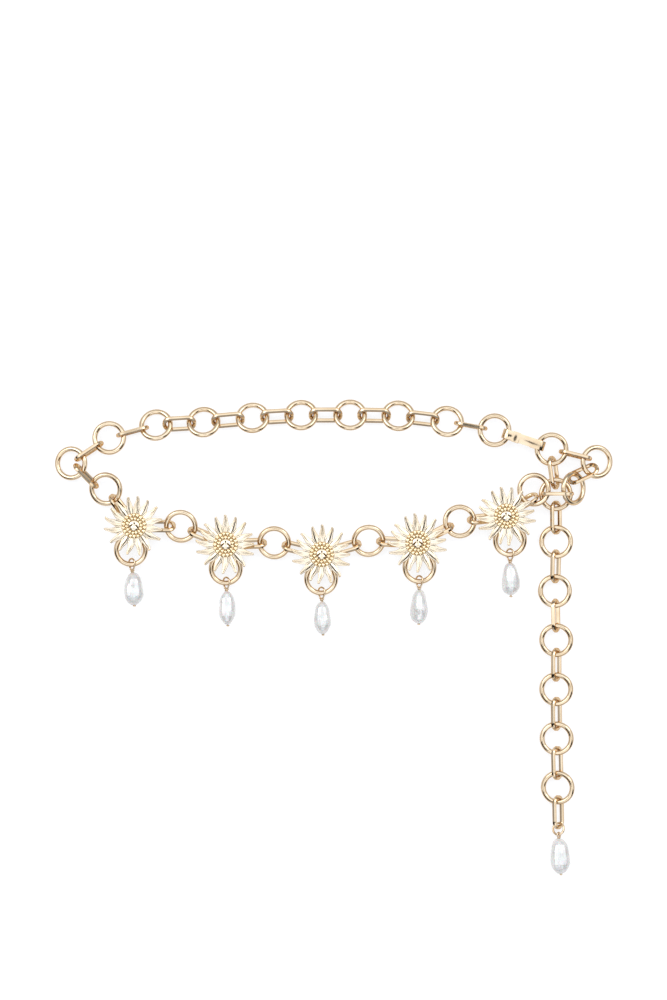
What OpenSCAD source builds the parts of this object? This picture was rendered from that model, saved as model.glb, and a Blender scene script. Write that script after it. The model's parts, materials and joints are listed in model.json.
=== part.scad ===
// A waist chain laid flat: a loop of round rings and oval links with five sun ornaments,
// a pearl drop under each sun, a flat hook clasp and a hanging tail that ends in a pearl.
// The origin is the middle of the waist opening, on the surface that the chain lies on.

/* [Chain rings] */
// Outer diameter of a chain ring
ring_d = 18; // [17:0.5:20]
// Wire of a chain ring
ring_wire = 2.6; // [2.2:0.1:2.7]

/* [Oval links] */
// Outer length of an oval link
link_l = 18; // [17:0.2:20]
// Outer width of an oval link
link_w = 9; // [8.8:0.1:10]
// Width of a link's bar, in the plane of the link
bar_w = 2; // [1.6:0.1:2.1]
// Depth of a link's bar, across the plane of the link
bar_t = 2; // [1.6:0.1:2.1]
// Chamfer along a link's bar
bar_chamfer = 0.5; // [0.2:0.1:0.7]
// Play between a ring and a link that are pulled taut
play = 0.15; // [0.1:0.05:0.3]

/* [Suns] */
// Diameter over the tips of the rays
sun_d = 31.6; // [28:0.2:34]
// Diameter of the full disc, where the gaps between the rays begin
disc_d = 18; // [16:0.5:20]
// Thickness of the cast sheet
sheet = 1.2; // [0.9:0.1:1.6]
// How far the tips stand above the middle of the sheet
dish = 1.2; // [0.8:0.1:2]
// Width of a ray where it leaves the disc
ray_w = 3.3; // [2.6:0.1:3.5]
// Width of a ray at its tip
tip_w = 0.8; // [0.5:0.1:1.2]
// Diameter of the raised mane round the face
mane_d = 12.8; // [11:0.2:13.4]
// Diameter of the round field inside the mane
face_d = 5.8; // [5:0.2:6.4]
// Diameter of a granule in the outer row of the mane
granule = 1.7; // [1.4:0.1:1.8]
// Height of the mane's bed over the sheet
mane_h = 0.6; // [0.3:0.1:0.9]
// Mid diameter of the carrier ring behind the sheet
carrier_d = 14.4; // [13.6:0.2:15]
// Wire of the carrier ring
carrier_wire = 2; // [1.6:0.1:2.2]
// Diameter of the post that holds the carrier ring
post_d = 1.6; // [1.2:0.1:1.8]
// Wire of the eye that holds the drop ring
eye_wire = 1.4; // [1.1:0.1:1.6]
// Room between the eye and the drop ring's wire
eye_room = 0.25; // [0.15:0.05:0.35]

/* [Drops] */
// How far below the middle of a sun its drop ring is held
eye_drop = 5.3; // [5:0.1:5.6]
// Wire of a drop's pin
pin_wire = 0.9; // [0.7:0.1:1]
// Mid radius of a pin's loop
pin_loop = 2.6; // [2.4:0.1:2.8]
// Length of a pin from its loop's middle to the pearl
pin_neck = 5; // [4.6:0.1:5.6]
// Room round a pin in a pearl's bore
bore_room = 0.1; // [0.06:0.02:0.2]
// Outer diameter of the jump ring at the end of the tail
jump_d = 7.3; // [6.6:0.1:8]
// Wire of the jump ring
jump_wire = 1.1; // [0.9:0.1:1.2]
// Wire of the tail's pin
tail_wire = 0.8; // [0.6:0.1:0.9]
// Mid radius of the loop of the tail's pin
tail_loop = 1.3; // [1.1:0.1:1.6]
// Length of the tail's pin from its loop's middle to the pearl
tail_neck = 2; // [1.8:0.1:3]

/* [Clasp] */
// Width of the clasp's strip
strip_w = 5; // [4:0.2:5.4]
// Thickness of the clasp's strip
strip_t = 1.2; // [0.9:0.1:1.3]
// Room between the strip and a ring's wire
hook_room = 0.45; // [0.4:0.05:0.6]
// Length of the hook's free end
hook_l = 4.6; // [3:0.2:6]
// Length of the collar that closes the bail
collar_l = 3.9; // [3:0.1:5]
// How far the collar stands proud of the strip
collar_proud = 0.3; // [0.1:0.1:0.5]

/* [Hidden] */
$fn = 48;
gold = [0.93, 0.80, 0.58];
warm_gold = [0.90, 0.72, 0.42];
pearl_white = [0.95, 0.95, 0.95];

ring_mid = (ring_d - ring_wire) / 2;
carrier_mid = carrier_d / 2;
link_in = link_l - 2 * bar_w;
link_mid = (link_w - bar_w) / 2;
straight = link_l - link_w;

// The crossing at the right, chosen by hand: each ring's middle (x, y, z), the way that
// its tilt axis points and its tilt. The chain's two ends walk on from here.
JOIN_RINGS = [
    ["hook", 117.6, 16.2, 4.6, 0, 0],
    ["turn", 141.6, 9.6, 3.4, 90, 15],
    ["stand", 129, -4.6, 6.6, 90, 42],
    ["first", 108.1, -5.2, 6.4, 90, -14],
    ["under", 119.9, -7.7, 4.1, 90, -4]];
// The links of the crossing: each one's middle (x, y, z), its way, slope and lean
JOIN_LINKS = [
    ["hook_turn", 130.2, 13.1, 4.9, -14, 3, 85],
    ["turn_stand", 134.2, 3.2, 4.8, 25, 8, -44],
    ["stand_first", 120.1, -7.4, 10.3, 0, 26, 90],
    ["hook_under", 118.7, 3.8, 4.4, -82, 0, -60],
    ["first_sun", 102.6, -12.3, 5, 29, 8, -60]];

// The loop from the first ring, round by the left, to the ring that the clasp's bail holds:
// what comes next, the way to it, the share of the taut step that is used, the lean of the
// link on the way, and the tilt of the ring that is reached. A link that has swung aside on
// the ring before it has a last column: its swing and the place where it hangs, both in
// degrees off the straight way
LOOP = [
    ["sun", 223.5, 0.78, 60, 0],
    ["ring", 186.4, 0.93, 62, 0],
    ["sun", 206.8, 0.96, 66, 0],
    ["ring", 177.7, 0.985, 62, -18],
    ["sun", 196, 0.98, 57, 0],
    ["ring", 166.4, 0.99, 57, -12],
    ["sun", 182, 0.97, 60, 0],
    ["ring", 158.2, 0.985, 60, -14],
    ["sun", 179.4, 0.925, 50, 0],
    ["ring", 128.4, 0.945, 64, -12],
    ["ring", 143.5, 0.87, 80, -14, [-9, 11]],
    ["ring", 33.5, 0.92, 83, -4],
    ["ring", 15.4, 0.97, 88, -22],
    ["ring", 3.5, 0.955, 36, -26],
    ["ring", 5, 0.985, 37, -26],
    ["ring", 3.2, 0.975, 36, -26],
    ["ring", 0.2, 0.98, 36, -24],
    ["ring", -1, 0.965, 36, -25],
    ["ring", -6.6, 0.985, 40, -22],
    ["ring", -10.6, 0.965, 89, 0]];
// The tail, down from the ring under the crossing, in the same columns
TAIL = [
    ["ring", -89.6, 0.95, -50, 8],
    ["ring", -91.4, 0.985, -57, 8],
    ["ring", -88.5, 0.985, -64, 6],
    ["ring", -90, 0.985, -57, 10],
    ["ring", -89.5, 0.985, -54, 8],
    ["ring", -88.7, 0.985, -50, 15]];
tail_way = -89;
tail_lean = -51;
jump_axis = -120;
jump_tilt = 35;

// Each drop under its sun, from the left: the way of the drop ring, the way of the pearl,
// the pearl's width and length, and the turn of its lumps
DROPS = [
    [-98.9, -86.4, 10, 17, 0],
    [-90.5, -88, 8.8, 17.6, 70],
    [-91.8, -88, 9.2, 17.2, 150],
    [-85.2, -90.6, 9.6, 17.6, 220],
    [-80.4, -88.8, 9.2, 17.2, 300]];
tail_pearl_way = -87;
TAIL_PEARL = [10.4, 18.4, 40];
pin_roll = 48;

// A pearl's sections: the share of its length and the share of its half width
PEARL = [[0, 0.24], [0.06, 0.5], [0.18, 0.72], [0.36, 0.88], [0.56, 1],
    [0.74, 0.96], [0.88, 0.72], [0.96, 0.44], [1, 0.24]];

// Each ray: degrees off its even place, share of the full reach, and bend of its tip
RAYS = [
    [0, 1, 2], [0, 0.98, -3], [0, 0.99, 2], [-3, 0.96, -4],
    [-3, 1, -5], [-4, 1, -4], [-4, 0.97, 4], [-3, 0.96, 3],
    [-2, 0.98, -3], [0, 1, -2], [-1, 0.97, -4], [1, 0.99, 3],
    [0, 0.95, 4], [2, 0.96, -2], [0, 1, 3], [0, 0.98, 4]];

function flat(a) = [a[0], a[1], 0];
function way(a) = [cos(a), sin(a), 0];
function heading(v) = atan2(v[1], v[0]);

// Half the height of a bar, and of a whole link or ring, that leans by an angle
function bar_half(lean) =
    let (s = abs(sin(lean)), c = abs(cos(lean)))
    max(bar_w / 2 * s + (bar_t / 2 - bar_chamfer) * c,
        (bar_w / 2 - bar_chamfer) * s + bar_t / 2 * c);
function link_half(lean) = link_mid * abs(sin(lean)) + bar_half(lean);
function ring_half(tilt) = ring_mid * abs(sin(tilt)) + ring_wire / 2;

// The taut step between the middles of two rings or carriers
function mid_of(kind) = kind == "sun" ? carrier_mid : kind == "jump" ? jump_mid : ring_mid;
function wire_of(kind) = kind == "sun" ? carrier_wire : ring_wire;
function taut(a, b) =
    mid_of(a) + mid_of(b) + link_in - (wire_of(a) + wire_of(b)) / 2 - 2 * play;

// The point of a ring's wire that lies on a way from its middle. A place holds
// [x, y, z, tilt axis, tilt, kind, lean of the link to it, way to it, swing of the link]
function rise(p, a) =
    let (d = a - p[3], f = atan2(sin(d) / cos(p[4]), cos(d)))
    mid_of(p[5]) * sin(f) * sin(p[4]);
function rim(p, a) =
    let (d = a - p[3], f = atan2(sin(d) / cos(p[4]), cos(d)), m = mid_of(p[5]))
    [p[0], p[1], p[2]] + m * cos(f) * way(p[3])
        + m * sin(f) * [-sin(p[3]) * cos(p[4]), cos(p[3]) * cos(p[4]), sin(p[4])];

// Each ring tilts about the chain's own way and lies as low as it and its two links can
function walk(table, at, kind, i = 0) = i == len(table) ? [] :
    let (row = table[i],
        on = table[min(i + 1, len(table) - 1)],
        next = flat(at) + row[2] * taut(kind, row[0]) * way(row[1]),
        p = [next[0], next[1], 0, (row[1] + on[1]) / 2, row[4], row[0], row[3], row[1]],
        z = max(row[0] == "sun" ? 0 : ring_half(row[4]),
            link_half(row[3]) - rise(p, row[1] + 180),
            link_half(on[3]) - rise(p, on[1])))
    concat([[p[0], p[1], z, p[3], p[4], p[5], p[6], p[7], row[5]]],
        walk(table, next, row[0], i + 1));

function join_ring(i) = let (r = JOIN_RINGS[i]) [r[1], r[2], r[3], r[4], r[5], "ring"];
function join_link(i) = let (r = JOIN_LINKS[i]) [[r[1], r[2], r[3]], r[4], r[5], r[6]];
hook_ring = join_ring(0);
under_ring = join_ring(4);
loop = walk(LOOP, join_ring(3), "ring");
tail = walk(TAIL, under_ring, "ring");
bail_ring = loop[len(loop) - 1];
end_ring = tail[len(tail) - 1];

// A link's place between two rings: [middle, way, slope, lean]. A slack one hangs on the
// ring after it, with this much room left there and the rest of its slack at the other end.
// One that has swung aside lies level and hangs on the ring before it, not quite taut
free = 0.4;
swung_free = 0.5;
function link_between(p, q, lean) = q[8] == undef ? link_straight(p, q, lean) :
    let (a = heading([q[0] - p[0], q[1] - p[1]]),
        swung = a + q[8][0],
        hangs = rim(p, a + q[8][1]),
        held = (link_in - wire_of(p[5]) / cos(q[8][1] - q[8][0])) / 2 - swung_free)
    [flat(hangs) + held * way(swung) + [0, 0, link_half(lean)], swung, 0, lean];
function link_straight(p, q, lean) =
    let (a = heading([q[0] - p[0], q[1] - p[1]]),
        from = rim(p, a),
        to = rim(q, a + 180),
        v = to - from,
        uneven = (wire_of(q[5]) - wire_of(p[5])) / 4,
        slack = link_in - (wire_of(p[5]) + wire_of(q[5])) / 2 - 2 * play - norm(v),
        off = uneven - max(0, slack / 2 - free))
    [(from + to) / 2 + off * way(a), a, atan2(v[2], norm([v[0], v[1]])), lean];

// The suns' places in the walk, from the left, and the height of their sheets, which lie
// over the steepest of their links
sun_rows = [for (i = [len(loop) - 1:-1:0]) if (loop[i][5] == "sun") i];
sheet_z = 2 * link_half(66) + play;
eye_z = sheet_z - play - ring_wire / 2;
function post_way(r) = (loop[r][7] - 180 + loop[r + 1][7]) / 2;

// A drop ring hangs from its eye and comes down to the height of its pearl
function pearl_z(i) = DROPS[i][2] * 0.54;
function drop_ring_at(i) =
    let (s = loop[sun_rows[i]],
        t = asin((eye_z - pearl_z(i)) / (2 * ring_mid)),
        m = flat(s) + (eye_drop + ring_mid * cos(t)) * way(DROPS[i][0]))
    [m[0], m[1], (eye_z + pearl_z(i)) / 2, DROPS[i][0] + 90, t, "ring"];
// The middle of a pin's loop lies inside the ring, this far from the middle of its wire
pin_slip = (pin_loop - pin_wire / 2 - ring_wire / 2) / 2;
function pin_at(i) =
    let (r = rim(drop_ring_at(i), DROPS[i][1]))
    [r[0], r[1], pearl_z(i)] - pin_slip * way(DROPS[i][1]);

// The end of the tail: its link, the jump ring through the link's end and the pearl's pin
end_reach = link_in / 2 - ring_wire / 2 - 2 * play;
end_link = [flat(rim(end_ring, tail_way)) + end_reach * way(tail_way)
    + [0, 0, link_half(tail_lean)], tail_way, 0, tail_lean];
jump_mid = (jump_d - jump_wire) / 2;
jump_at = end_link[0] + ((link_in + bar_w) / 2 + 0.8) * way(tail_way);
jump_ring = [jump_at[0], jump_at[1], jump_at[2], jump_axis, jump_tilt];

// The tail's pin hangs on the far side of the jump ring and rises to the pearl's middle
jump_end = rim([jump_at[0], jump_at[1], jump_at[2], jump_axis, jump_tilt, "jump"], tail_way);
tail_slip = (tail_loop - tail_wire / 2 - jump_wire / 2) / 2;
tail_rise = asin((TAIL_PEARL[0] * 0.54 - jump_end[2]) / (tail_neck + TAIL_PEARL[1] / 2));

// The outline of a sun: its rays leave the disc evenly, then drift and bend
function ray_way(k, t) = 90 + (k + RAYS[k][0] * t / 22.5) * 22.5 + RAYS[k][2] * t * t;
function ray_point(k, t, side) =
    let (a = ray_way(k, t),
        r = disc_d / 2 + t * (RAYS[k][1] * sun_d / 2 - disc_d / 2),
        half = (ray_w + t * (tip_w - ray_w)) / 2)
    [r * cos(a) - side * half * sin(a), r * sin(a) + side * half * cos(a)];
STAR = [for (k = [0:15], p = [[0, -1], [0.4, -1], [0.75, -1], [1, -1],
    [1, 1], [0.75, 1], [0.4, 1], [0, 1]]) ray_point(k, p[0], p[1])];

module at_ring(p) {
    translate([p[0], p[1], p[2]]) rotate([0, 0, p[3]]) rotate([p[4], 0, 0]) children();
}

module at_link(k) {
    translate(k[0]) rotate([0, 0, k[1]]) rotate([0, -k[2], 0]) rotate([k[3], 0, 0]) children();
}

module hoop(mid, wire) {
    rotate_extrude() translate([mid, 0]) circle(d = wire);
}

module bar_section() {
    x = bar_w / 2;
    y = bar_t / 2;
    c = bar_chamfer;
    polygon([[x, y - c], [x - c, y], [c - x, y], [-x, y - c],
        [-x, c - y], [c - x, -y], [x - c, -y], [x, c - y]]);
}

module oval_link() {
    for (side = [-1, 1]) {
        translate([-straight / 2, side * link_mid, 0])
            rotate([90, 0, 90]) linear_extrude(straight) bar_section();
        translate([side * straight / 2, 0, 0]) rotate([0, 0, -side * 90])
            rotate_extrude(angle = 180) translate([link_mid, 0]) bar_section();
    }
}

module chain_ring(p) {
    color(gold) at_ring(p) hoop(ring_mid, ring_wire);
}

module chain_link(k) {
    color(gold) at_link(k) oval_link();
}

module ray_sheet() {
    intersection() {
        translate([0, 0, -1]) linear_extrude(dish + sheet + 2) polygon(STAR);
        rotate_extrude() polygon([[0, 0], [disc_d / 2, dish / 4], [sun_d / 2 + 1, dish],
            [sun_d / 2 + 1, dish + sheet * 0.8], [disc_d / 2, dish / 4 + sheet], [0, sheet]]);
    }
}

// The mane: a raised bed with two rows of granules round the field of the mask
module mane() {
    bed = sheet + mane_h;
    small = granule * 0.88;
    outer = (mane_d - granule) / 2 - 0.2;
    inner = outer - (granule + small) / 2 - 0.1;
    difference() {
        translate([0, 0, sheet / 2]) cylinder(d = mane_d, h = bed - sheet / 2);
        translate([0, 0, sheet + 0.1]) cylinder(d = face_d, h = bed);
    }
    for (k = [0:17]) rotate([0, 0, k * 20]) translate([outer, 0, bed + 0.1]) sphere(d = granule);
    for (k = [0:13]) rotate([0, 0, (k + 0.5) * 360 / 14])
        translate([inner, 0, bed + 0.2]) sphere(d = small);
}

// A plain beast's mask: a dome with a muzzle and two brows
module mask() {
    top = sheet + 1.4;
    intersection() {
        translate([0, 0, top - 3.2]) sphere(3.2);
        translate([0, 0, sheet / 2]) cylinder(d = mane_d, h = 3);
    }
    translate([0, -0.9, top - 0.3]) sphere(0.8);
    for (side = [-1, 1]) translate([side * 0.9, 0.75, top - 0.25])
        rotate([0, 0, -side * 32]) rotate([0, 90, 0]) cylinder(d = 0.55, h = 1.5, center = true);
}

// The fittings behind the sheet: the carrier ring for the links, its post and the drop's eye
module fittings(lift, post) {
    eye_mid = (ring_wire + eye_wire) / 2 + eye_room;
    translate([0, 0, -lift]) hoop(carrier_mid, carrier_wire);
    rotate([0, 0, post]) translate([carrier_mid, 0, -lift])
        cylinder(d = post_d, h = lift + sheet / 2);
    translate([0, -eye_drop, eye_z - sheet_z]) rotate([0, 90, 0]) hoop(eye_mid, eye_wire);
}

module sun(i) {
    r = sun_rows[i - 1];
    turn = DROPS[i - 1][0] + 90;
    color(warm_gold) translate([loop[r][0], loop[r][1], sheet_z]) rotate([0, 0, turn]) {
        ray_sheet();
        mane();
        mask();
        fittings(sheet_z - loop[r][2], post_way(r) - turn);
    }
}

// Links are counted from the left, two to a sun
module sun_link(i) {
    r = sun_rows[ceil(i / 2) - 1];
    if (i % 2 == 1) chain_link(link_between(loop[r], loop[r + 1], loop[r + 1][6]));
    else if (r > 0) chain_link(link_between(loop[r - 1], loop[r], loop[r][6]));
    else chain_link(join_link(4));
}

module front_ring(i) {
    chain_ring(loop[sun_rows[i - 1] - 1]);
}

module drop_ring(i) {
    chain_ring(drop_ring_at(i - 1));
}

module back_chain() {
    from = sun_rows[0] + 1;
    for (r = [from:len(loop) - 1]) chain_ring(loop[r]);
    for (r = [from + 1:len(loop) - 1])
        chain_link(link_between(loop[r - 1], loop[r], loop[r][6]));
}

module tail_chain() {
    for (i = [0:4]) chain_ring(join_ring(i));
    for (i = [0:3]) chain_link(join_link(i));
    for (i = [0:len(tail) - 1]) {
        chain_ring(tail[i]);
        chain_link(link_between(i == 0 ? under_ring : tail[i - 1], tail[i], tail[i][6]));
    }
    chain_link(end_link);
}

// A pin: a rolled loop, a wrapped neck, a straight shank through the pearl and a small head
module pin(mid, wire, neck, pearl_l, roll) {
    wrap = mid + 0.2;
    color(gold) {
        rotate([roll, 0, 0]) hoop(mid, wire);
        rotate([0, 90, 0]) {
            translate([0, 0, mid]) cylinder(d = wire, h = neck + pearl_l + play + 0.3 - mid);
            translate([0, 0, wrap])
                cylinder(d1 = wire * 2.4, d2 = wire * 1.5, h = neck - play - wrap);
            translate([0, 0, neck + pearl_l + play]) cylinder(d = wire * 2, h = 0.6);
        }
    }
}

// A baroque pearl of the given width and length, drilled for its pin
module baroque(wide, long, turn, wire) {
    n = 14;
    last = len(PEARL) - 1;
    color(pearl_white) difference() {
        polyhedron(
            [for (p = PEARL, k = [0:n - 1])
                let (a = k * 360 / n,
                    r = wide / 2 * p[1] * (1 + 0.04 * sin(2 * a + turn + 200 * p[0])
                        + 0.03 * cos(3 * a - turn)))
                [p[0] * long, r * cos(a), r * sin(a)]],
            concat([[for (k = [0:n - 1]) k]], [[for (k = [n - 1:-1:0]) last * n + k]],
                [for (j = [0:last - 1], k = [0:n - 1], half = [0, 1])
                    let (a = j * n + k, b = j * n + (k + 1) % n)
                    half == 0 ? [a, a + n, b] : [b, a + n, b + n]]));
        translate([-1, 0, 0]) rotate([0, 90, 0]) cylinder(d = wire + 2 * bore_room, h = long + 2);
    }
}

module drop_pin(i) {
    d = DROPS[i - 1];
    translate(pin_at(i - 1)) rotate([0, 0, d[1]]) 
        pin(pin_loop, pin_wire, pin_neck, d[3], pin_roll);
}

module pearl(i) {
    d = DROPS[i - 1];
    translate(pin_at(i - 1)) rotate([0, 0, d[1]]) translate([pin_neck, 0, 0])
        baroque(d[2], d[3], d[4], pin_wire);
}

module tail_jump_ring() {
    color(gold) at_ring(jump_ring) hoop(jump_mid, jump_wire);
}

module at_tail_pin() {
    translate(jump_end + tail_slip * way(tail_pearl_way))
        rotate([0, -tail_rise, tail_pearl_way]) children();
}

module tail_pin() {
    at_tail_pin() pin(tail_loop, tail_wire, tail_neck, TAIL_PEARL[1], -pin_roll);
}

module tail_pearl() {
    at_tail_pin() translate([tail_neck, 0, 0])
        baroque(TAIL_PEARL[0], TAIL_PEARL[1], TAIL_PEARL[2], tail_wire);
}

// The clasp runs from its closed bail to the hook that is laid in the hook ring
module clasp() {
    run = hook_ring - bail_ring;
    span = norm([run[0], run[1]]);
    inner = ring_wire / 2 + hook_room;
    outer = inner + strip_t;
    bail = ring_mid - 0.2;
    hook = span - ring_mid + 0.8;
    color(gold) translate([bail_ring[0], bail_ring[1], (bail_ring[2] + hook_ring[2]) / 2])
        rotate([90, 0, heading(run)]) {
        linear_extrude(strip_w, center = true) {
            translate([bail, 0]) difference() {
                circle(outer);
                circle(inner);
            }
            translate([bail, inner]) square([hook - bail, strip_t]);
            translate([hook, 0]) intersection() {
                difference() {
                    circle(outer);
                    circle(inner);
                }
                translate([0, -outer]) square([outer, 2 * outer]);
            }
            translate([hook - hook_l, -outer]) square([hook_l, strip_t]);
        }
        translate([bail + outer - 0.5, inner - strip_t, -strip_w / 2 - collar_proud])
            cube([collar_l, 2 * strip_t + collar_proud, strip_w + 2 * collar_proud]);
    }
}

for (i = [1:5]) sun(i);
for (i = [1:10]) sun_link(i);
for (i = [1:4]) front_ring(i);
for (i = [1:5]) drop_ring(i);
for (i = [1:5]) drop_pin(i);
for (i = [1:5]) pearl(i);
back_chain();
tail_chain();
clasp();
tail_jump_ring();
tail_pin();
tail_pearl();
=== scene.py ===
"""A gold-plated waist chain laid flat: round rings, oval links, five cast suns with pearl
drops, a flat hook clasp and a hanging tail. Sizes are in millimetres, times MM."""

import json
import math

import bmesh
import bpy
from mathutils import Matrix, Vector
from mathutils.geometry import intersect_point_line

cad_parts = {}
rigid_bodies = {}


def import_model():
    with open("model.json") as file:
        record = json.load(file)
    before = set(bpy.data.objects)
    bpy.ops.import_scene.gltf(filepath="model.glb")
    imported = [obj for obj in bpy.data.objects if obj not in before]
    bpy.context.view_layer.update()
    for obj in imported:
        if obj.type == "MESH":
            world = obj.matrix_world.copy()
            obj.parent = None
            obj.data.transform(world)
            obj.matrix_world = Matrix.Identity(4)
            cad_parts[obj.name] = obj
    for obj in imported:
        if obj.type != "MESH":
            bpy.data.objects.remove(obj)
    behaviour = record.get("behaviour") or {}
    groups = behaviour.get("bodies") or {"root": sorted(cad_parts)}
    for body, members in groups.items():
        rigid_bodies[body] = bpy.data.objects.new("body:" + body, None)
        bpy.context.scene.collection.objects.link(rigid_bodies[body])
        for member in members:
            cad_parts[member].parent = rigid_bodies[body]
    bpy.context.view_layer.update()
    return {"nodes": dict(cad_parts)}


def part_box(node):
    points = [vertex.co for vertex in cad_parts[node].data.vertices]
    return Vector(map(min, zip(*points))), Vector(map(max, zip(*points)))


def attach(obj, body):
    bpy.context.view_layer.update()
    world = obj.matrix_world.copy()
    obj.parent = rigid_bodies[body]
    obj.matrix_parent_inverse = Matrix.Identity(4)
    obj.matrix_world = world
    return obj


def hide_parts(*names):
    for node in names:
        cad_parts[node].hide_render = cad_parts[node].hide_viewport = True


MM = 0.001

bpy.ops.object.select_all(action="SELECT")
bpy.ops.object.delete()
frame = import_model()
nodes = frame["nodes"]

# The photograph's frame: the middle of the picture on the floor, and the height it shows
VIEW_MIDDLE = Vector((1.9, -10.7, 0)) * MM
VIEW_HEIGHT = 532.5 * MM
LENS = 85
SENSOR = 36

# A cast sun, from its middle at the underside of the sheet
DISC_R = 9.0 * MM
TIP_R = 15.8 * MM
RAY_ROOT = 5.6 * MM
RAY_BASE_W = 4.0 * MM
RAY_TIP_W = 0.5 * MM
RAY_T = 0.62 * MM
SHEET_TOP = 1.2 * MM
DISH = 0.3 * MM
TIP_LIFT = 0.75 * MM
RIDGE = 0.5 * MM
RAY_ROWS = 14
TIP_CURL = 0.25 * MM
DISC_T = 0.8 * MM
MANE_R = 6.4 * MM
MANE_FOOT = 0.7 * MM
MANE_TOP = 1.75 * MM
FIELD_R = 3.0 * MM
FIELD_SINK = 0.5 * MM
GRANULE_R = 1.0 * MM
INNER_GRANULE = 0.88
OUTER_ROW = 18
INNER_ROW = 14
MASK_Z = 1.6 * MM
MASK_H = 1.1 * MM
MUZZLE_TOP = 3.1 * MM
GROOVE_W = 0.55 * MM
CARRIER_R = 7.2 * MM
CARRIER_WIRE = 2.0 * MM
POST_D = 1.6 * MM
EYE_R = 2.25 * MM
EYE_WIRE = 1.4 * MM
EYE_DROP = 5.3 * MM
EYE_DEPTH = 1.45 * MM

# Each ray: degrees off its even place, share of the full reach, bend of its tip in
# degrees, and how far it waves from side to side in millimetres
RAYS = [
    (0, 1.00, 2, 0.25), (0, 0.98, -3, -0.20), (0, 0.99, 2, 0.25), (-3, 0.96, -4, 0.20),
    (-3, 1.00, -5, -0.30), (-4, 1.00, -4, 0.25), (-4, 0.97, 4, 0.30), (-3, 0.96, 3, -0.20),
    (-2, 0.98, -3, 0.25), (0, 1.00, -2, 0.20), (-1, 0.97, -4, -0.30), (1, 0.99, 3, -0.20),
    (0, 0.95, 4, 0.25), (2, 0.96, -2, 0.20), (0, 1.00, 3, -0.25), (0, 0.98, 4, 0.30),
]


# Modelling


def deselect():
    if bpy.context.mode != "OBJECT":
        bpy.ops.object.mode_set(mode="OBJECT")
    bpy.ops.object.select_all(action="DESELECT")


def make_active(piece):
    deselect()
    piece.select_set(True)
    bpy.context.view_layer.objects.active = piece


def edit(piece):
    make_active(piece)
    bpy.ops.object.mode_set(mode="EDIT")


def pick(piece, test):
    """Selects the vertices of the piece in edit mode whose place passes the test."""
    shape = bmesh.from_edit_mesh(piece.data)
    for v in shape.verts:
        v.select_set(test(v.co))
    shape.select_flush_mode()
    bmesh.update_edit_mesh(piece.data)


def named(name, material=None):
    """Names the object that was just added, and gives it its finish."""
    piece = bpy.context.active_object
    piece.name = name
    piece.data.name = name
    if material:
        piece.data.materials.clear()
        piece.data.materials.append(material)
    return piece


def settle(piece):
    """Puts the piece's place, turn and size into its mesh."""
    make_active(piece)
    bpy.ops.object.transform_apply(location=True, rotation=True, scale=True)
    return piece


def modify(piece, kind, **settings):
    """Adds a modifier with its settings and applies it."""
    make_active(piece)
    modifier = piece.modifiers.new(kind.title(), kind)
    for key, value in settings.items():
        setattr(modifier, key, value)
    bpy.ops.object.modifier_apply(modifier=modifier.name)
    return piece


def copy_of(piece, name):
    twin = piece.copy()
    twin.data = piece.data.copy()
    twin.name = name
    twin.data.name = name
    bpy.context.scene.collection.objects.link(twin)
    return twin


def join(pieces, name):
    deselect()
    for piece in pieces:
        piece.select_set(True)
    bpy.context.view_layer.objects.active = pieces[0]
    bpy.ops.object.join()
    pieces[0].name = name
    pieces[0].data.name = name
    return pieces[0]


def merged_copy(node, name):
    """A copy of a CAD node, its loose triangles joined, ready to be worked on."""
    piece = copy_of(nodes[node], name)
    piece.parent = None
    for key in list(piece.keys()):
        if key.startswith("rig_"):
            del piece[key]
    edit(piece)
    bpy.ops.mesh.select_all(action="SELECT")
    bpy.ops.mesh.remove_doubles(threshold=0.002 * MM)
    bpy.ops.object.mode_set(mode="OBJECT")
    make_active(piece)
    bpy.ops.mesh.customdata_custom_splitnormals_clear()
    return piece


def smooth(piece, angle=None):
    make_active(piece)
    if angle is None:
        bpy.ops.object.shade_smooth()
    else:
        bpy.ops.object.shade_smooth_by_angle(angle=math.radians(angle))
    return piece


# Materials


def linear(hex_colour):
    """An sRGB hex colour as linear red, green, blue and 1."""
    parts = [int(hex_colour[i:i + 2], 16) / 255 for i in (0, 2, 4)]
    return [c / 12.92 if c <= 0.04045 else ((c + 0.055) / 1.055) ** 2.4 for c in parts] + [1]


def add_node(tree, kind, inputs=None, **settings):
    """Adds a node, sets its properties and fills its inputs with values or links."""
    node = tree.nodes.new(kind)
    for key, value in settings.items():
        setattr(node, key, value)
    for socket, value in (inputs or {}).items():
        if isinstance(value, bpy.types.NodeSocket):
            tree.links.new(value, node.inputs[socket])
        else:
            node.inputs[socket].default_value = value
    return node


def new_finish(name):
    """A material with its node tree, the Principled shader and object coordinates."""
    material = bpy.data.materials.new(name)
    material.use_nodes = True
    tree = material.node_tree
    place = add_node(tree, "ShaderNodeTexCoord").outputs["Object"]
    return material, tree, tree.nodes["Principled BSDF"], place


def set_ramp(node, stops):
    """Sets a colour ramp's stops: pairs of a position and a hex colour."""
    ramp = node.color_ramp
    while len(ramp.elements) < len(stops):
        ramp.elements.new(0.5)
    for element, (position, colour) in zip(ramp.elements, stops):
        element.position = position
        element.color = linear(colour)
    return node


def per_mm(size):
    """A texture scale in repeats a metre, for a pattern of this size in millimetres."""
    return 1 / (size * MM)


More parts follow.
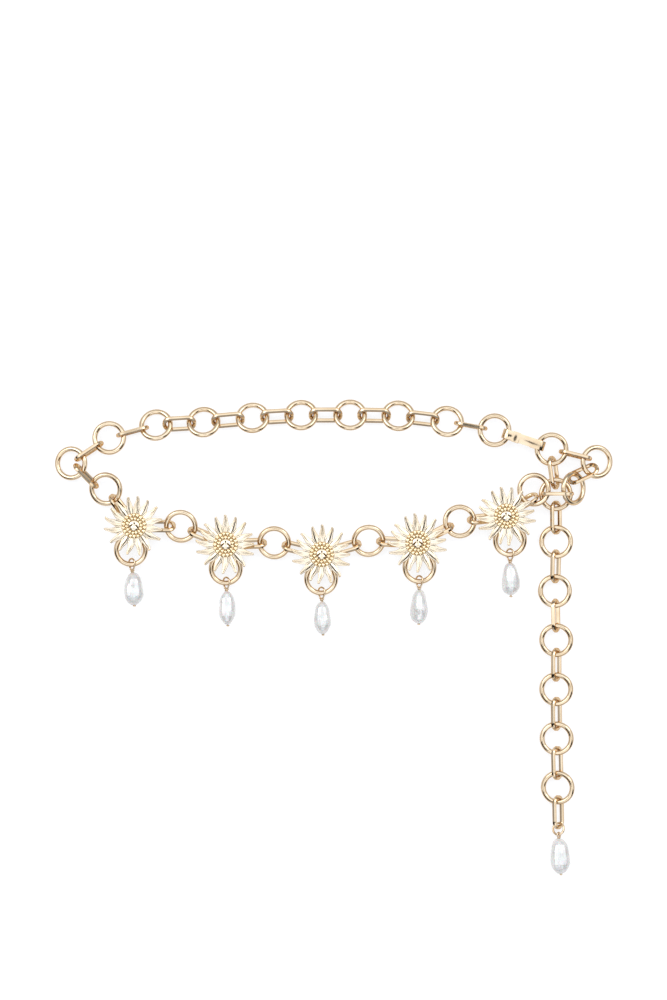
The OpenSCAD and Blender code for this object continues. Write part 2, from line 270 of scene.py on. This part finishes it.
# Polished gold plate over brass, tumbled and buffed: mirror bright, with the soft
# waviness of hand polishing and faint rub marks in the gloss.
def polished_gold():
    material, tree, shader, place = new_finish("polished_gold_plate")
    cloud = add_node(tree, "ShaderNodeTexNoise",
                     {"Vector": place, "Scale": per_mm(9), "Detail": 2})
    tint = set_ramp(add_node(tree, "ShaderNodeValToRGB", {"Fac": cloud.outputs["Fac"]}),
                    [(0.35, "D2B996"), (0.65, "DEC8A8")])
    tree.links.new(tint.outputs["Color"], shader.inputs["Base Color"])
    rub = add_node(tree, "ShaderNodeTexNoise",
                   {"Vector": place, "Scale": per_mm(1.6), "Detail": 4})
    gloss = add_node(tree, "ShaderNodeMapRange",
                     {"Value": rub.outputs["Fac"], "To Min": 0.07, "To Max": 0.17})
    tree.links.new(gloss.outputs["Result"], shader.inputs["Roughness"])
    wave = add_node(tree, "ShaderNodeTexNoise",
                    {"Vector": place, "Scale": per_mm(4), "Detail": 1})
    bump = add_node(tree, "ShaderNodeBump",
                    {"Height": wave.outputs["Fac"], "Strength": 0.12, "Distance": 0.12 * MM})
    tree.links.new(bump.outputs["Normal"], shader.inputs["Normal"])
    shader.inputs["Metallic"].default_value = 1
    shader.inputs["Specular Tint"].default_value = linear("DDB080")
    return material


# The same plate on the suns' cast sheets, coloured brighter and paler as painted light,
# with the orange-peel surface that a casting keeps under its polish.
def cast_gold():
    material, tree, shader, place = new_finish("cast_gold_plate_painted_brighter")
    cloud = add_node(tree, "ShaderNodeTexNoise",
                     {"Vector": place, "Scale": per_mm(5), "Detail": 3})
    # Painted light: these colours are brighter and paler than the polished gold's, the same plate
    # coloured as if more brightly lit.
    tint = set_ramp(add_node(tree, "ShaderNodeValToRGB", {"Fac": cloud.outputs["Fac"]}),
                    [(0.35, "DFCCAD"), (0.7, "EADBC3")])
    tree.links.new(tint.outputs["Color"], shader.inputs["Base Color"])
    rub = add_node(tree, "ShaderNodeTexNoise",
                   {"Vector": place, "Scale": per_mm(0.9), "Detail": 4})
    gloss = add_node(tree, "ShaderNodeMapRange",
                     {"Value": rub.outputs["Fac"], "To Min": 0.1, "To Max": 0.24})
    tree.links.new(gloss.outputs["Result"], shader.inputs["Roughness"])
    peel = add_node(tree, "ShaderNodeTexNoise",
                    {"Vector": place, "Scale": per_mm(1.4), "Detail": 3})
    bump = add_node(tree, "ShaderNodeBump",
                    {"Height": peel.outputs["Fac"], "Strength": 0.35, "Distance": 0.1 * MM})
    tree.links.new(bump.outputs["Normal"], shader.inputs["Normal"])
    shader.inputs["Metallic"].default_value = 1
    shader.inputs["Specular Tint"].default_value = linear("DCB584")
    return material


# The granules of the mane: yellower, less buffed gold, which the polishing wheel
# only touches on top.
def granule_gold():
    material, tree, shader, place = new_finish("granulated_gold")
    grain = add_node(tree, "ShaderNodeTexNoise",
                     {"Vector": place, "Scale": per_mm(1.2), "Detail": 3})
    tint = set_ramp(add_node(tree, "ShaderNodeValToRGB", {"Fac": grain.outputs["Fac"]}),
                    [(0.35, "E6CCA0"), (0.65, "F2DEB8")])
    tree.links.new(tint.outputs["Color"], shader.inputs["Base Color"])
    bump = add_node(tree, "ShaderNodeBump",
                    {"Height": grain.outputs["Fac"], "Strength": 0.12, "Distance": 0.1 * MM})
    tree.links.new(bump.outputs["Normal"], shader.inputs["Normal"])
    shader.inputs["Metallic"].default_value = 1
    shader.inputs["Roughness"].default_value = 0.18
    return material


# Gold in the hollows of the casting, which the polishing wheel doesn't reach: dull, and
# coloured darker as painted shade between the granules and dark brown as painted shade in the
# narrow grooves of the mask.
def shaded_hollow_gold(name, dark, light):
    material, tree, shader, place = new_finish(name)
    # Painted shade, mottled at random between the dark and light colours given.
    shade_mottle = add_node(tree, "ShaderNodeTexNoise",
                     {"Vector": place, "Scale": per_mm(1.0), "Detail": 3})
    tint = set_ramp(add_node(tree, "ShaderNodeValToRGB", {"Fac": shade_mottle.outputs["Fac"]}),
                    [(0.35, dark), (0.65, light)])
    tree.links.new(tint.outputs["Color"], shader.inputs["Base Color"])
    shader.inputs["Metallic"].default_value = 1
    shader.inputs["Roughness"].default_value = 0.45
    return material


# Nacre of a freshwater baroque pearl: a white body under a clear glossy skin, with a painted
# sheen: white where the surface faces the view, a trace of rose and green and then grey as it
# turns away.
def nacre():
    material, tree, shader, place = new_finish("baroque_pearl_nacre")
    cloud = add_node(tree, "ShaderNodeTexNoise",
                     {"Vector": place, "Scale": per_mm(5), "Detail": 3})
    body = set_ramp(add_node(tree, "ShaderNodeValToRGB", {"Fac": cloud.outputs["Fac"]}),
                    [(0.3, "CFCCC4"), (0.6, "DEDBD3")])
    # Painted sheen: colour by how squarely the surface faces the view, white facing it and greyer
    # at the rim.
    facing = add_node(tree, "ShaderNodeLayerWeight", {"Blend": 0.35}).outputs["Facing"]
    painted_sheen = set_ramp(add_node(tree, "ShaderNodeValToRGB", {"Fac": facing}),
                      [(0.0, "FFFFFF"), (0.45, "F6F0F2"), (0.75, "EEF0EE"), (1.0, "E6E6E6")])
    skin = add_node(tree, "ShaderNodeMix",
                    {0: 0.75, 6: body.outputs["Color"], 7: painted_sheen.outputs["Color"]},
                    data_type="RGBA", blend_type="MULTIPLY")
    tree.links.new(skin.outputs[2], shader.inputs["Base Color"])
    dimple = add_node(tree, "ShaderNodeTexNoise",
                      {"Vector": place, "Scale": per_mm(4), "Detail": 1})
    bump = add_node(tree, "ShaderNodeBump",
                    {"Height": dimple.outputs["Fac"], "Strength": 0.12, "Distance": 0.3 * MM})
    tree.links.new(bump.outputs["Normal"], shader.inputs["Normal"])
    shader.inputs["Metallic"].default_value = 0.15
    shader.inputs["Roughness"].default_value = 0.2
    shader.inputs["IOR"].default_value = 1.6
    shader.inputs["Coat Weight"].default_value = 1
    shader.inputs["Coat Roughness"].default_value = 0.04
    shader.inputs["Coat IOR"].default_value = 1.6
    shader.inputs["Subsurface Weight"].default_value = 0.15
    shader.inputs["Subsurface Scale"].default_value = 1.5 * MM
    return material


# Opal acrylic of a light table, lit from below, so that what lies on it throws almost
# no shadow.
def light_table():
    material, tree, shader, place = new_finish("lit_opal_acrylic")
    fibre = add_node(tree, "ShaderNodeTexNoise",
                     {"Vector": place, "Scale": per_mm(40), "Detail": 4})
    tint = set_ramp(add_node(tree, "ShaderNodeValToRGB", {"Fac": fibre.outputs["Fac"]}),
                    [(0.3, "8B8B8B"), (0.7, "8F8F8F")])
    tree.links.new(tint.outputs["Color"], shader.inputs["Base Color"])
    shader.inputs["Roughness"].default_value = 0.8
    shader.inputs["Emission Color"].default_value = linear("FFFFFF")
    shader.inputs["Emission Strength"].default_value = 0.75
    return material


gold = polished_gold()
# Painted light: the suns' sheets are a brighter copy of the same gold plate.
sun_gold_painted_bright = cast_gold()
mane_gold = granule_gold()
# Painted shade: the mane's bed is coloured darker and more orange than the polished gold.
recess_gold_painted_shade = shaded_hollow_gold("unpolished_gold_painted_shade", "C09860", "DEBC86")
# Painted shade: the grooves of the mask are coloured dark brown.
groove_gold_painted_shade = shaded_hollow_gold("painted_shade_gold_in_grooves", "4A3820", "6E5634")
pearl_skin = nacre()


# Suns


def ray_strip():
    """One straight ray: a tapered strip with a ridge along it and raised edges."""
    bpy.ops.mesh.primitive_grid_add(x_subdivisions=RAY_ROWS, y_subdivisions=6, size=1)
    strip = named("ray", sun_gold_painted_bright)
    edit(strip)
    bpy.ops.mesh.select_all(action="SELECT")
    bpy.ops.transform.translate(value=(0.5, 0, 0))
    for column, lift in ((0, 1.0), (1, 0.15), (2, 0.0), (3, 0.3)):
        pick(strip, lambda co, c=column: abs(abs(co.y) * 6 - c) < 0.1)
        bpy.ops.transform.translate(value=(0, 0, lift * RIDGE))
    for row in range(RAY_ROWS + 1):
        share = row / RAY_ROWS
        relief = 0.45 + 0.55 * min(1, share / 0.45)
        pick(strip, lambda co, s=share: abs(co.x - s) < 0.01)
        bpy.ops.transform.resize(value=(1, width_at(share), relief),
                                 center_override=(share, 0, RIDGE / 2))
    pick(strip, lambda co: abs(co.y) < 0.01 * MM)
    bpy.ops.transform.edge_crease(value=0.8)
    bpy.ops.object.mode_set(mode="OBJECT")
    return strip


def width_at(share):
    """The width of a ray at a share of its length from root to tip."""
    r = RAY_ROOT + share * (TIP_R - RAY_ROOT)
    if r < DISC_R:
        return RAY_BASE_W * r / DISC_R
    out = (r - DISC_R) / (TIP_R - DISC_R)
    return RAY_BASE_W + out * (RAY_TIP_W - RAY_BASE_W)


def bent_ray(strip, place):
    """A copy of the ray with its own length, drift, bend and wave, turned to its place."""
    drift, reach, bend, wave = RAYS[place]
    ray = copy_of(strip, f"ray_{place + 1}")
    length = TIP_R * reach - RAY_ROOT
    edit(ray)
    for row in range(RAY_ROWS + 1):
        share = row / RAY_ROWS
        r = RAY_ROOT + share * length
        out = max(0, (r - DISC_R) / (TIP_R - DISC_R))
        aside = r * math.radians(drift * out + bend * out * out)
        aside += wave * MM * math.sin(2 * math.pi * out) * out
        rise = SHEET_TOP - RIDGE + DISH * min(1, r / DISC_R) + TIP_LIFT * out + TIP_CURL * out ** 6
        pick(ray, lambda co, s=share: abs(co.x - s) < 0.01)
        bpy.ops.transform.translate(value=(r - share, aside, rise))
    bpy.ops.object.mode_set(mode="OBJECT")
    ray.rotation_euler.z = math.radians(90 + place * 22.5)
    return settle(ray)


def rays():
    strip = ray_strip()
    star = join([bent_ray(strip, place) for place in range(len(RAYS))], "rays")
    bpy.data.objects.remove(strip)
    modify(star, "SOLIDIFY", thickness=RAY_T, offset=-1)
    modify(star, "SUBSURF", levels=1, render_levels=1)
    return smooth(star)


def disc():
    """The dished plate that the rays grow from."""
    bpy.ops.mesh.primitive_cylinder_add(vertices=64, radius=DISC_R, depth=DISC_T,
                                        location=(0, 0, 0.62 * MM))
    plate = settle(named("disc", sun_gold_painted_bright))
    edit(plate)
    bpy.ops.mesh.select_mode(type="VERT")
    pick(plate, lambda co: co.z < 0.5 * MM)
    bpy.ops.transform.resize(value=(0.93, 0.93, 1), center_override=(0, 0, 0))
    bpy.ops.mesh.select_all(action="SELECT")
    bpy.ops.mesh.bevel(offset=0.2 * MM, segments=3, affect="EDGES")
    bpy.ops.object.mode_set(mode="OBJECT")
    return smooth(plate, 40)


def mane_bed():
    """The raised round bed of the mane, open in the middle for the mask."""
    bpy.ops.mesh.primitive_cylinder_add(vertices=64, radius=MANE_R, depth=MANE_TOP - MANE_FOOT,
                                        location=(0, 0, (MANE_TOP + MANE_FOOT) / 2))
    # The bed's darker gold is painted shade between and round the granules.
    bed = settle(named("mane_bed", recess_gold_painted_shade))
    edit(bed)
    bpy.ops.mesh.select_mode(type="FACE")
    bpy.ops.mesh.select_all(action="DESELECT")
    shape = bmesh.from_edit_mesh(bed.data)
    for face in shape.faces:
        face.select_set(face.normal.z > 0.9)
    bmesh.update_edit_mesh(bed.data)
    bpy.ops.mesh.inset(thickness=MANE_R - FIELD_R)
    bpy.ops.transform.translate(value=(0, 0, -FIELD_SINK))
    bpy.ops.mesh.select_mode(type="VERT")
    bpy.ops.object.mode_set(mode="OBJECT")
    modify(bed, "BEVEL", width=0.25 * MM, segments=3, limit_method="ANGLE")
    return smooth(bed, 50)


def granules():
    """Two rows of flattened granules round the mask, each a little off its even place."""
    small = GRANULE_R * INNER_GRANULE
    outer = MANE_R - GRANULE_R + 0.3 * MM
    inner = outer - GRANULE_R - small
    grains = []
    for count, ring, size, turn in ((OUTER_ROW, outer, GRANULE_R, 0),
                                    (INNER_ROW, inner, small, 0.5)):
        for k in range(count):
            angle = (k + turn) * 2 * math.pi / count
            wobble = math.sin(k * 2.4 + turn)
            radius = size * (1 + 0.06 * wobble)
            bpy.ops.mesh.primitive_ico_sphere_add(subdivisions=3, radius=radius)
            grain = named("granule", mane_gold)
            grain.scale = (1.08, 0.94, 0.55)
            r = ring - 0.1 * MM * wobble
            grain.location = (r * math.cos(angle), r * math.sin(angle), MANE_TOP + 0.3 * MM)
            grain.rotation_euler.z = angle
            grains.append(settle(grain))
    return smooth(join(grains, "granules"))


def press(piece, at, reach, lift):
    """Pulls the skin of the piece up or down round a point, fading over its reach."""
    pick(piece, lambda co: (co.xy - Vector(at)).length < reach * 0.3 and co.z > 1.2 * MM)
    bpy.ops.transform.translate(
        value=(0, 0, lift), use_proportional_edit=True, proportional_edit_falloff="SMOOTH",
        proportional_size=reach)


def carve(piece, start, end, depth):
    """Presses a short groove into the skin of the piece, and colours it dull dark brown as painted
    shade.
    """
    start, end = Vector(start), Vector(end)
    for step in range(6):
        press(piece, start.lerp(end, step / 5), 0.5 * MM, -depth / 2)
    shape = bmesh.from_edit_mesh(piece.data)
    for face in shape.faces:
        at = face.calc_center_median()
        near, share = intersect_point_line(at.xy, start, end)
        near = start.lerp(end, min(1, max(0, share)))
        if (at.xy - near).length < GROOVE_W / 2 and at.z > 1.2 * MM:
            # Painted shade: the groove's faces take the dark brown gold.
            face.material_index = 1
    bmesh.update_edit_mesh(piece.data)


def mask():
    """A plain beast's mask: a dome with a broad muzzle under two slanting brows."""
    bpy.ops.mesh.primitive_uv_sphere_add(segments=96, ring_count=64, radius=1)
    face = named("mask", sun_gold_painted_bright)
    # The mask's second finish is the dark brown painted shade of its grooves.
    face.data.materials.append(groove_gold_painted_shade)
    face.scale = (FIELD_R + 0.1 * MM, FIELD_R + 0.1 * MM, MASK_H)
    face.location = (0, 0, MASK_Z)
    settle(face)
    edit(face)
    press(face, (0, -1.7 * MM), 1.6 * MM, 0.3 * MM)
    press(face, (0, 1.3 * MM), 0.9 * MM, 0.1 * MM)
    for side in (-1, 1):
        press(face, (side * 1.2 * MM, -1.5 * MM), 1.1 * MM, 0.15 * MM)
        carve(face, (side * 1.15 * MM, 0.4 * MM), (side * 2.5 * MM, -0.8 * MM), 0.5 * MM)
    carve(face, (-0.1 * MM, 1.45 * MM), (0.1 * MM, 1.45 * MM), 0.25 * MM)
    bpy.ops.object.mode_set(mode="OBJECT")
    return smooth(face)


def hoop(name, radius, wire, place, turn=(0, 0, 0), material=None):
    """A closed ring of round wire, spun from the section of the wire."""
    bpy.ops.mesh.primitive_circle_add(vertices=20, radius=wire / 2, location=(radius, 0, 0),
                                      rotation=(math.pi / 2, 0, 0))
    ring = settle(named(name, material or gold))
    edit(ring)
    bpy.ops.mesh.select_all(action="SELECT")
    bpy.ops.mesh.spin(steps=72, angle=2 * math.pi, center=(0, 0, 0), axis=(0, 0, 1))
    bpy.ops.mesh.select_all(action="SELECT")
    bpy.ops.mesh.remove_doubles(threshold=0.01 * MM)
    bpy.ops.mesh.normals_make_consistent(inside=False)
    bpy.ops.object.mode_set(mode="OBJECT")
    ring.rotation_euler = turn
    ring.location = place
    settle(ring)
    return smooth(ring)


def solder_post(foot, head, diameter):
    """A post with a fillet of solder at its head."""
    length = (head - foot).length
    bpy.ops.mesh.primitive_cylinder_add(vertices=24, radius=diameter / 2, depth=length,
                                        location=(foot + head) / 2)
    post = settle(named("post", gold))
    edit(post)
    bpy.ops.mesh.select_all(action="SELECT")
    bpy.ops.mesh.bisect(plane_co=foot + (head - foot) * 0.25, plane_no=(0, 0, 1))
    bpy.ops.mesh.select_all(action="SELECT")
    bpy.ops.mesh.bisect(plane_co=foot + (head - foot) * 0.75, plane_no=(0, 0, 1))
    pick(post, lambda co: abs(co.z - head.z) < 0.01 * MM)
    bpy.ops.transform.resize(value=(1.35, 1.35, 1), center_override=head)
    bpy.ops.object.mode_set(mode="OBJECT")
    return smooth(post, 50)


def cast_front():
    """The front of a sun, the same on all five: rays, disc, mane and mask."""
    return join([rays(), disc(), mane_bed(), granules(), mask()], "sun_front")


def carrier_middle(node):
    """The middle of a sun's carrier ring, from the ring's lowest part."""
    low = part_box(node)[0].z
    rim = [v.co for v in nodes[node].data.vertices if v.co.z < low + 0.8 * MM]
    xs = [co.x for co in rim]
    ys = [co.y for co in rim]
    return Vector(((min(xs) + max(xs)) / 2, (min(ys) + max(ys)) / 2, low + CARRIER_WIRE / 2))


def sun(number, front):
    """A whole sun in its place: the front, its carrier ring, post and eye."""
    node = f"sun_{number}"
    middle = carrier_middle(node)
    drop = middle_of(f"drop_ring_{number}")
    turn = math.atan2(drop.y - middle.y, drop.x - middle.x) + math.pi / 2
    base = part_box(node)[1].z - MUZZLE_TOP
    face = copy_of(front, f"front_{number}")
    face.rotation_euler.z = turn
    face.location = (middle.x, middle.y, base)
    settle(face)
    down = Vector((math.sin(turn), -math.cos(turn), 0))
    eye_place = Vector((middle.x, middle.y, base - EYE_DEPTH)) + EYE_DROP * down
    parts = [
        face,
        hoop("carrier", CARRIER_R, CARRIER_WIRE, middle, material=gold),
        hoop("eye", EYE_R, EYE_WIRE, eye_place, (0, math.pi / 2, turn), gold),
    ]
    out = post_way(number, middle)
    foot = middle + CARRIER_R * out
    head = Vector((foot.x, foot.y, base + 0.6 * MM))
    parts.append(solder_post(foot, head, POST_D))
    piece = join(parts, f"sun_{number}_cast")
    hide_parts(node)
    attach(piece, "root")


def middle_of(node):
    low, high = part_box(node)
    return (low + high) / 2


def post_way(number, middle):
    """The way of a sun's post: halfway between its two links, on the side away from the drop."""
    ways = []
    for link in (2 * number - 1, 2 * number):
        to = middle_of(f"sun_link_{link}") - middle
        ways.append(Vector((to.x, to.y, 0)).normalized())
    half = ways[0] + ways[1]
    return half.normalized()


front = cast_front()
for number in range(1, 6):
    sun(number, front)
bpy.data.objects.remove(front)


# Pearls


def baroque_pearl(node, seed):
    """The drilled solid made smooth all round, with the slow lumps of a grown pearl."""
    piece = merged_copy(node, f"{node}_nacre")
    piece.data.materials.clear()
    piece.data.materials.append(pearl_skin)
    modify(piece, "REMESH", mode="VOXEL", voxel_size=0.28 * MM)
    modify(piece, "SMOOTH", factor=0.5, iterations=5)
    lumps = bpy.data.textures.new(f"lumps_{seed}", "CLOUDS")
    lumps.noise_scale = 5.5 * MM
    lumps.noise_depth = 0
    modify(piece, "DISPLACE", texture=lumps, strength=0.9 * MM, mid_level=0.4,
           texture_coords="LOCAL")
    smooth(piece)
    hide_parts(node)
    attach(piece, "root")


for number in range(1, 6):
    baroque_pearl(f"pearl_{number}", number)
baroque_pearl("tail_pearl", 6)


# Pins, from the middle of the eye along the bore: where the pearl begins, the eye's mid
# radius, the wire, where the wound turns begin, their radius there and the turn of the eye
PIN_NECK = 5.0 * MM
PIN_RADIUS = 2.6 * MM
PIN_WIRE = 0.9 * MM
PIN_WRAP = 2.9 * MM
PIN_WRAP_R = 1.1 * MM
TAIL_NECK = 2.0 * MM
TAIL_RADIUS = 1.3 * MM
TAIL_WIRE = 0.8 * MM
TAIL_WRAP = 1.2 * MM
TAIL_WRAP_R = 0.7 * MM
PIN_ROLL = 48


def pearl_axis(node, behind):
    """The middles of a pearl's two flat ends, the one nearer to a point first."""
    spots = {tuple(v.co) for v in nodes[node].data.vertices}
    axis = (middle_of(node) - behind).normalized()
    for again in range(4):
        along = {spot: axis.dot(spot) for spot in spots}
        ends = []
        for level in (min(along.values()), max(along.values())):
            cap = [Vector(spot) for spot in spots if abs(along[spot] - level) < 0.4 * MM]
            ends.append(sum(cap, Vector()) / len(cap))
        axis = (ends[1] - ends[0]).normalized()
    return ends


def pin_eye(radius, wire, reach):
    """A pin's eye: a drop of wire whose two ends run together into the neck."""
    spread = math.acos(radius / reach)
    start = Vector((radius * math.cos(spread), radius * math.sin(spread), 0))
    bpy.ops.mesh.primitive_circle_add(vertices=16, radius=wire / 2, location=start,
                                      rotation=(math.pi / 2, 0, spread))
    eye = settle(named("pin_eye", gold))
    edit(eye)
    bpy.ops.mesh.select_all(action="SELECT")
    bpy.ops.mesh.spin(steps=40, angle=2 * (math.pi - spread), center=(0, 0, 0), axis=(0, 0, -1))
    for side in (1, -1):
        end = Vector((start.x, side * start.y, 0))
        pick(eye, lambda co, e=end: (co - e).length < wire * 0.52)
        bpy.ops.mesh.extrude_region_move(
            TRANSFORM_OT_translate={"value": Vector((reach, side * 0.1 * wire, 0)) - end})
        bpy.ops.transform.resize(value=(0.8, 0.8, 0.8),
                                 center_override=(reach, side * 0.1 * wire, 0))
    bpy.ops.mesh.select_all(action="SELECT")
    bpy.ops.mesh.remove_doubles(threshold=0.01 * MM)
    bpy.ops.mesh.normals_make_consistent(inside=False)
    bpy.ops.object.mode_set(mode="OBJECT")
    return smooth(eye)


def pin_wrap(start, length, wide, narrow, wire, turns):
    """The wire wound down to the pearl, from wide turns at the ring to narrow ones."""
    middle = (wide + narrow) / 2
    bpy.ops.mesh.primitive_circle_add(vertices=12, radius=wire / 2, location=(0, middle, 0))
    wrap = settle(named("pin_wrap", gold))
    modify(wrap, "SCREW", axis="X", angle=2 * math.pi, iterations=turns, steps=24,
           render_steps=24, screw_offset=length / turns, use_merge_vertices=True)
    edit(wrap)
    bpy.ops.mesh.select_all(action="SELECT")
    bpy.ops.mesh.normals_make_consistent(inside=False)
    for slice_end in range(1, 41):
        x = length * slice_end / 40
        pick(wrap, lambda co, x=x: x - length / 40 <= co.x < x or (x >= length <= co.x))
        grow = (wide + (narrow - wide) * x / length) / middle
        bpy.ops.transform.resize(value=(1, grow, grow), center_override=(0, 0, 0))
    pick(wrap, lambda co: co.x < 0)
    bpy.ops.transform.resize(value=(1, wide / middle, wide / middle), center_override=(0, 0, 0))
    bpy.ops.mesh.select_all(action="SELECT")
    bpy.ops.transform.translate(value=(start, 0, 0))
    bpy.ops.object.mode_set(mode="OBJECT")
    return smooth(wrap)


def pin_shank(start, end, wire):
    """The straight part of the pin with its small domed head under the pearl."""
    bpy.ops.mesh.primitive_cylinder_add(vertices=20, radius=wire / 2, depth=end - start,
                                        location=((start + end) / 2, 0, 0),
                                        rotation=(0, math.pi / 2, 0))
    shank = settle(named("pin_shank", gold))
    edit(shank)
    pick(shank, lambda co: co.x > end - 0.01 * MM)
    for out, grow in ((0.15, 2.0), (0.35, 1.0), (0.25, 0.55)):
        bpy.ops.mesh.extrude_region_move(TRANSFORM_OT_translate={"value": (out * MM, 0, 0)})
        bpy.ops.transform.resize(value=(1, grow, grow), center_override=(end, 0, 0))
    bpy.ops.object.mode_set(mode="OBJECT")
    return smooth(shank, 50)


def wire_pin(node, pearl, hung_from, neck, radius, wire, wrap_at, wrap_r, roll):
    """A whole pin, lying along its pearl's bore with its eye round the ring."""
    top, bottom = pearl_axis(pearl, middle_of(hung_from))
    along = (bottom - top).normalized()
    reach = neck - 0.45 * MM
    parts = [
        pin_eye(radius, wire, reach),
        pin_wrap(wrap_at, neck - wrap_at, wrap_r, wire * 0.62, wire * 0.72,
                 max(1, round((neck - wrap_at) / wire))),
        pin_shank(reach - 0.2 * MM, neck + (bottom - top).length + 0.1 * MM, wire * 0.9),
    ]
    piece = join(parts, f"{node}_wire")
    piece.location = top - neck * along
    piece.rotation_euler = (math.radians(roll), -math.asin(along.z), math.atan2(along.y, along.x))
    settle(piece)
    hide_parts(node)
    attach(piece, "root")


for number in range(1, 6):
    wire_pin(f"drop_pin_{number}", f"pearl_{number}", f"drop_ring_{number}",
             PIN_NECK, PIN_RADIUS, PIN_WIRE, PIN_WRAP, PIN_WRAP_R, PIN_ROLL)
wire_pin("tail_pin", "tail_pearl", "tail_jump_ring",
         TAIL_NECK, TAIL_RADIUS, TAIL_WIRE, TAIL_WRAP, TAIL_WRAP_R, -PIN_ROLL)


# Clasp: how far the collar stands over the strip, and the strip's middle over its edges
COLLAR_PROUD = 0.3 * MM
STRIP_CROWN = 0.2 * MM
EDGE_ROUND = 0.28 * MM


def clasp():
    """The hook clasp: its strip crowned from side to side, its collar flat, its edges
    rounded off."""
    piece = merged_copy("clasp", "clasp_strip")
    piece.data.materials.clear()
    piece.data.materials.append(gold)
    top = max(v.co.z for v in piece.data.vertices)
    corners = [v.co.copy() for v in piece.data.vertices if v.co.z > top - 0.02 * MM]
    others = sorted(corners[1:], key=lambda corner: (corner - corners[0]).length)
    along = (others[0] - corners[0]).normalized()
    across = along.cross((0, 0, 1))
    middle = sum(corners, Vector()) / len(corners)
    strip = top - COLLAR_PROUD
    edit(piece)
    bpy.ops.mesh.select_all(action="SELECT")
    bpy.ops.mesh.bisect(plane_co=middle, plane_no=across)
    pick(piece, lambda co: abs(across.dot(co - middle)) < 0.01 * MM
         and abs(co.z - strip) < 0.02 * MM)
    bpy.ops.transform.translate(value=(0, 0, STRIP_CROWN))
    bpy.ops.object.mode_set(mode="OBJECT")
    modify(piece, "BEVEL", width=EDGE_ROUND, segments=3, limit_method="ANGLE",
           angle_limit=math.radians(35))
    smooth(piece, 35)
    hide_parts("clasp")
    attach(piece, "root")


clasp()

for name, node in nodes.items():
    if not node.hide_render:
        node.data.materials.clear()
        node.data.materials.append(gold)


# Studio

# The tent's light by height: the sine of the elevation and the strength. The two dark
# gaps in its wall are given by their ways, and by half their width where it begins and ends
TENT = [(0, 0.32), (0.1, 0.24), (0.3, 0.26), (0.42, 0.36), (0.6, 0.62), (0.68, 0.95), (0.85, 0.95),
        (1, 0.85)]
TENT_LIGHT = 1.95
GAP_WAYS = (213, 327)
GAP_OUTER = math.radians(17)
GAP_INNER = math.radians(14)
LENS_HOLE = math.radians(8)
LENS_DARK = math.radians(6)


def floor():
    bpy.ops.mesh.primitive_plane_add(size=6)
    card = named("floor", light_table())


def camera():
    bpy.ops.object.camera_add()
    eye = bpy.context.active_object
    eye.data.lens = LENS
    eye.data.sensor_width = SENSOR
    eye.location = VIEW_MIDDLE + Vector((0, 0, VIEW_HEIGHT * LENS / SENSOR))
    eye.data.clip_end = 20
    bpy.context.scene.camera = eye


def softbox(name, place, size, power):
    bpy.ops.object.light_add(type="AREA", location=place)
    lamp = bpy.context.active_object
    lamp.name = name
    lamp.data.shape = "RECTANGLE"
    lamp.data.size = size[0]
    lamp.data.size_y = size[1]
    lamp.data.energy = power
    lamp.rotation_euler = (-Vector(place)).to_track_quat("-Z", "Y").to_euler()


def dark_gap(tree, flat_way, height, azimuth):
    """How much of the tent's wall is left at a way: almost 0 in the gap, 1 outside it."""
    a = math.radians(azimuth)
    near = add_node(tree, "ShaderNodeVectorMath", {0: flat_way, 1: (math.cos(a), math.sin(a), 0)},
                    operation="DOT_PRODUCT")
    wide = add_node(tree, "ShaderNodeMapRange",
                    {"Value": near.outputs["Value"], "From Min": math.cos(GAP_OUTER),
                     "From Max": math.cos(GAP_INNER), "To Min": 1.0, "To Max": 0.02})
    tall = add_node(tree, "ShaderNodeMapRange",
                    {"Value": height, "From Min": 0.9, "From Max": 0.95, "To Min": 0.0,
                     "To Max": 1.0})
    return add_node(tree, "ShaderNodeMath",
                    {0: wide.outputs["Result"], 1: tall.outputs["Result"]}, operation="MAXIMUM")


def tent():
    """A white light tent: bright overhead with a hole for the lens, dim at the foot of its
    walls, with two dark gaps in front."""
    world = bpy.data.worlds.new("light_tent")
    bpy.context.scene.world = world
    world.use_nodes = True
    tree = world.node_tree
    way = add_node(tree, "ShaderNodeTexCoord").outputs["Generated"]
    height = add_node(tree, "ShaderNodeSeparateXYZ", {"Vector": way})
    wall = add_node(tree, "ShaderNodeFloatCurve", {"Value": height.outputs["Z"]})
    curve = wall.mapping.curves[0]
    for point, (z, light) in zip(curve.points, TENT[:1] + TENT[-1:]):
        point.location = (z, light)
    for z, light in TENT[1:-1]:
        curve.points.new(z, light)
    wall.mapping.update()
    level = add_node(tree, "ShaderNodeVectorMath", {0: way, 1: (1, 1, 0)}, operation="MULTIPLY")
    flat_way = add_node(tree, "ShaderNodeVectorMath", {0: level.outputs["Vector"]},
                        operation="NORMALIZE").outputs["Vector"]
    left, right = (dark_gap(tree, flat_way, height.outputs["Z"], azimuth)
                   for azimuth in GAP_WAYS)
    both = add_node(tree, "ShaderNodeMath", {0: left.outputs["Value"], 1: right.outputs["Value"]},
                    operation="MULTIPLY")
    hole = add_node(tree, "ShaderNodeMapRange",
                    {"Value": height.outputs["Z"], "From Min": math.cos(LENS_HOLE),
                     "From Max": math.cos(LENS_DARK), "To Min": TENT_LIGHT, "To Max": 0.1})
    full = add_node(tree, "ShaderNodeMath",
                    {0: wall.outputs["Value"], 1: hole.outputs["Result"]}, operation="MULTIPLY")
    light = add_node(tree, "ShaderNodeMath", {0: full.outputs["Value"], 1: both.outputs["Value"]},
                     operation="MULTIPLY")
    tree.links.new(light.outputs["Value"], tree.nodes["Background"].inputs["Strength"])
    tree.nodes["Background"].inputs["Color"].default_value = linear("EEF4FF")


floor()
camera()
tent()
softbox("left_softbox", (-0.9, 0.5, 1.1), (0.7, 0.7), 4)
softbox("right_softbox", (0.9, 0.6, 1.0), (0.5, 0.8), 3)
bpy.context.scene.view_settings.view_transform = "Standard"
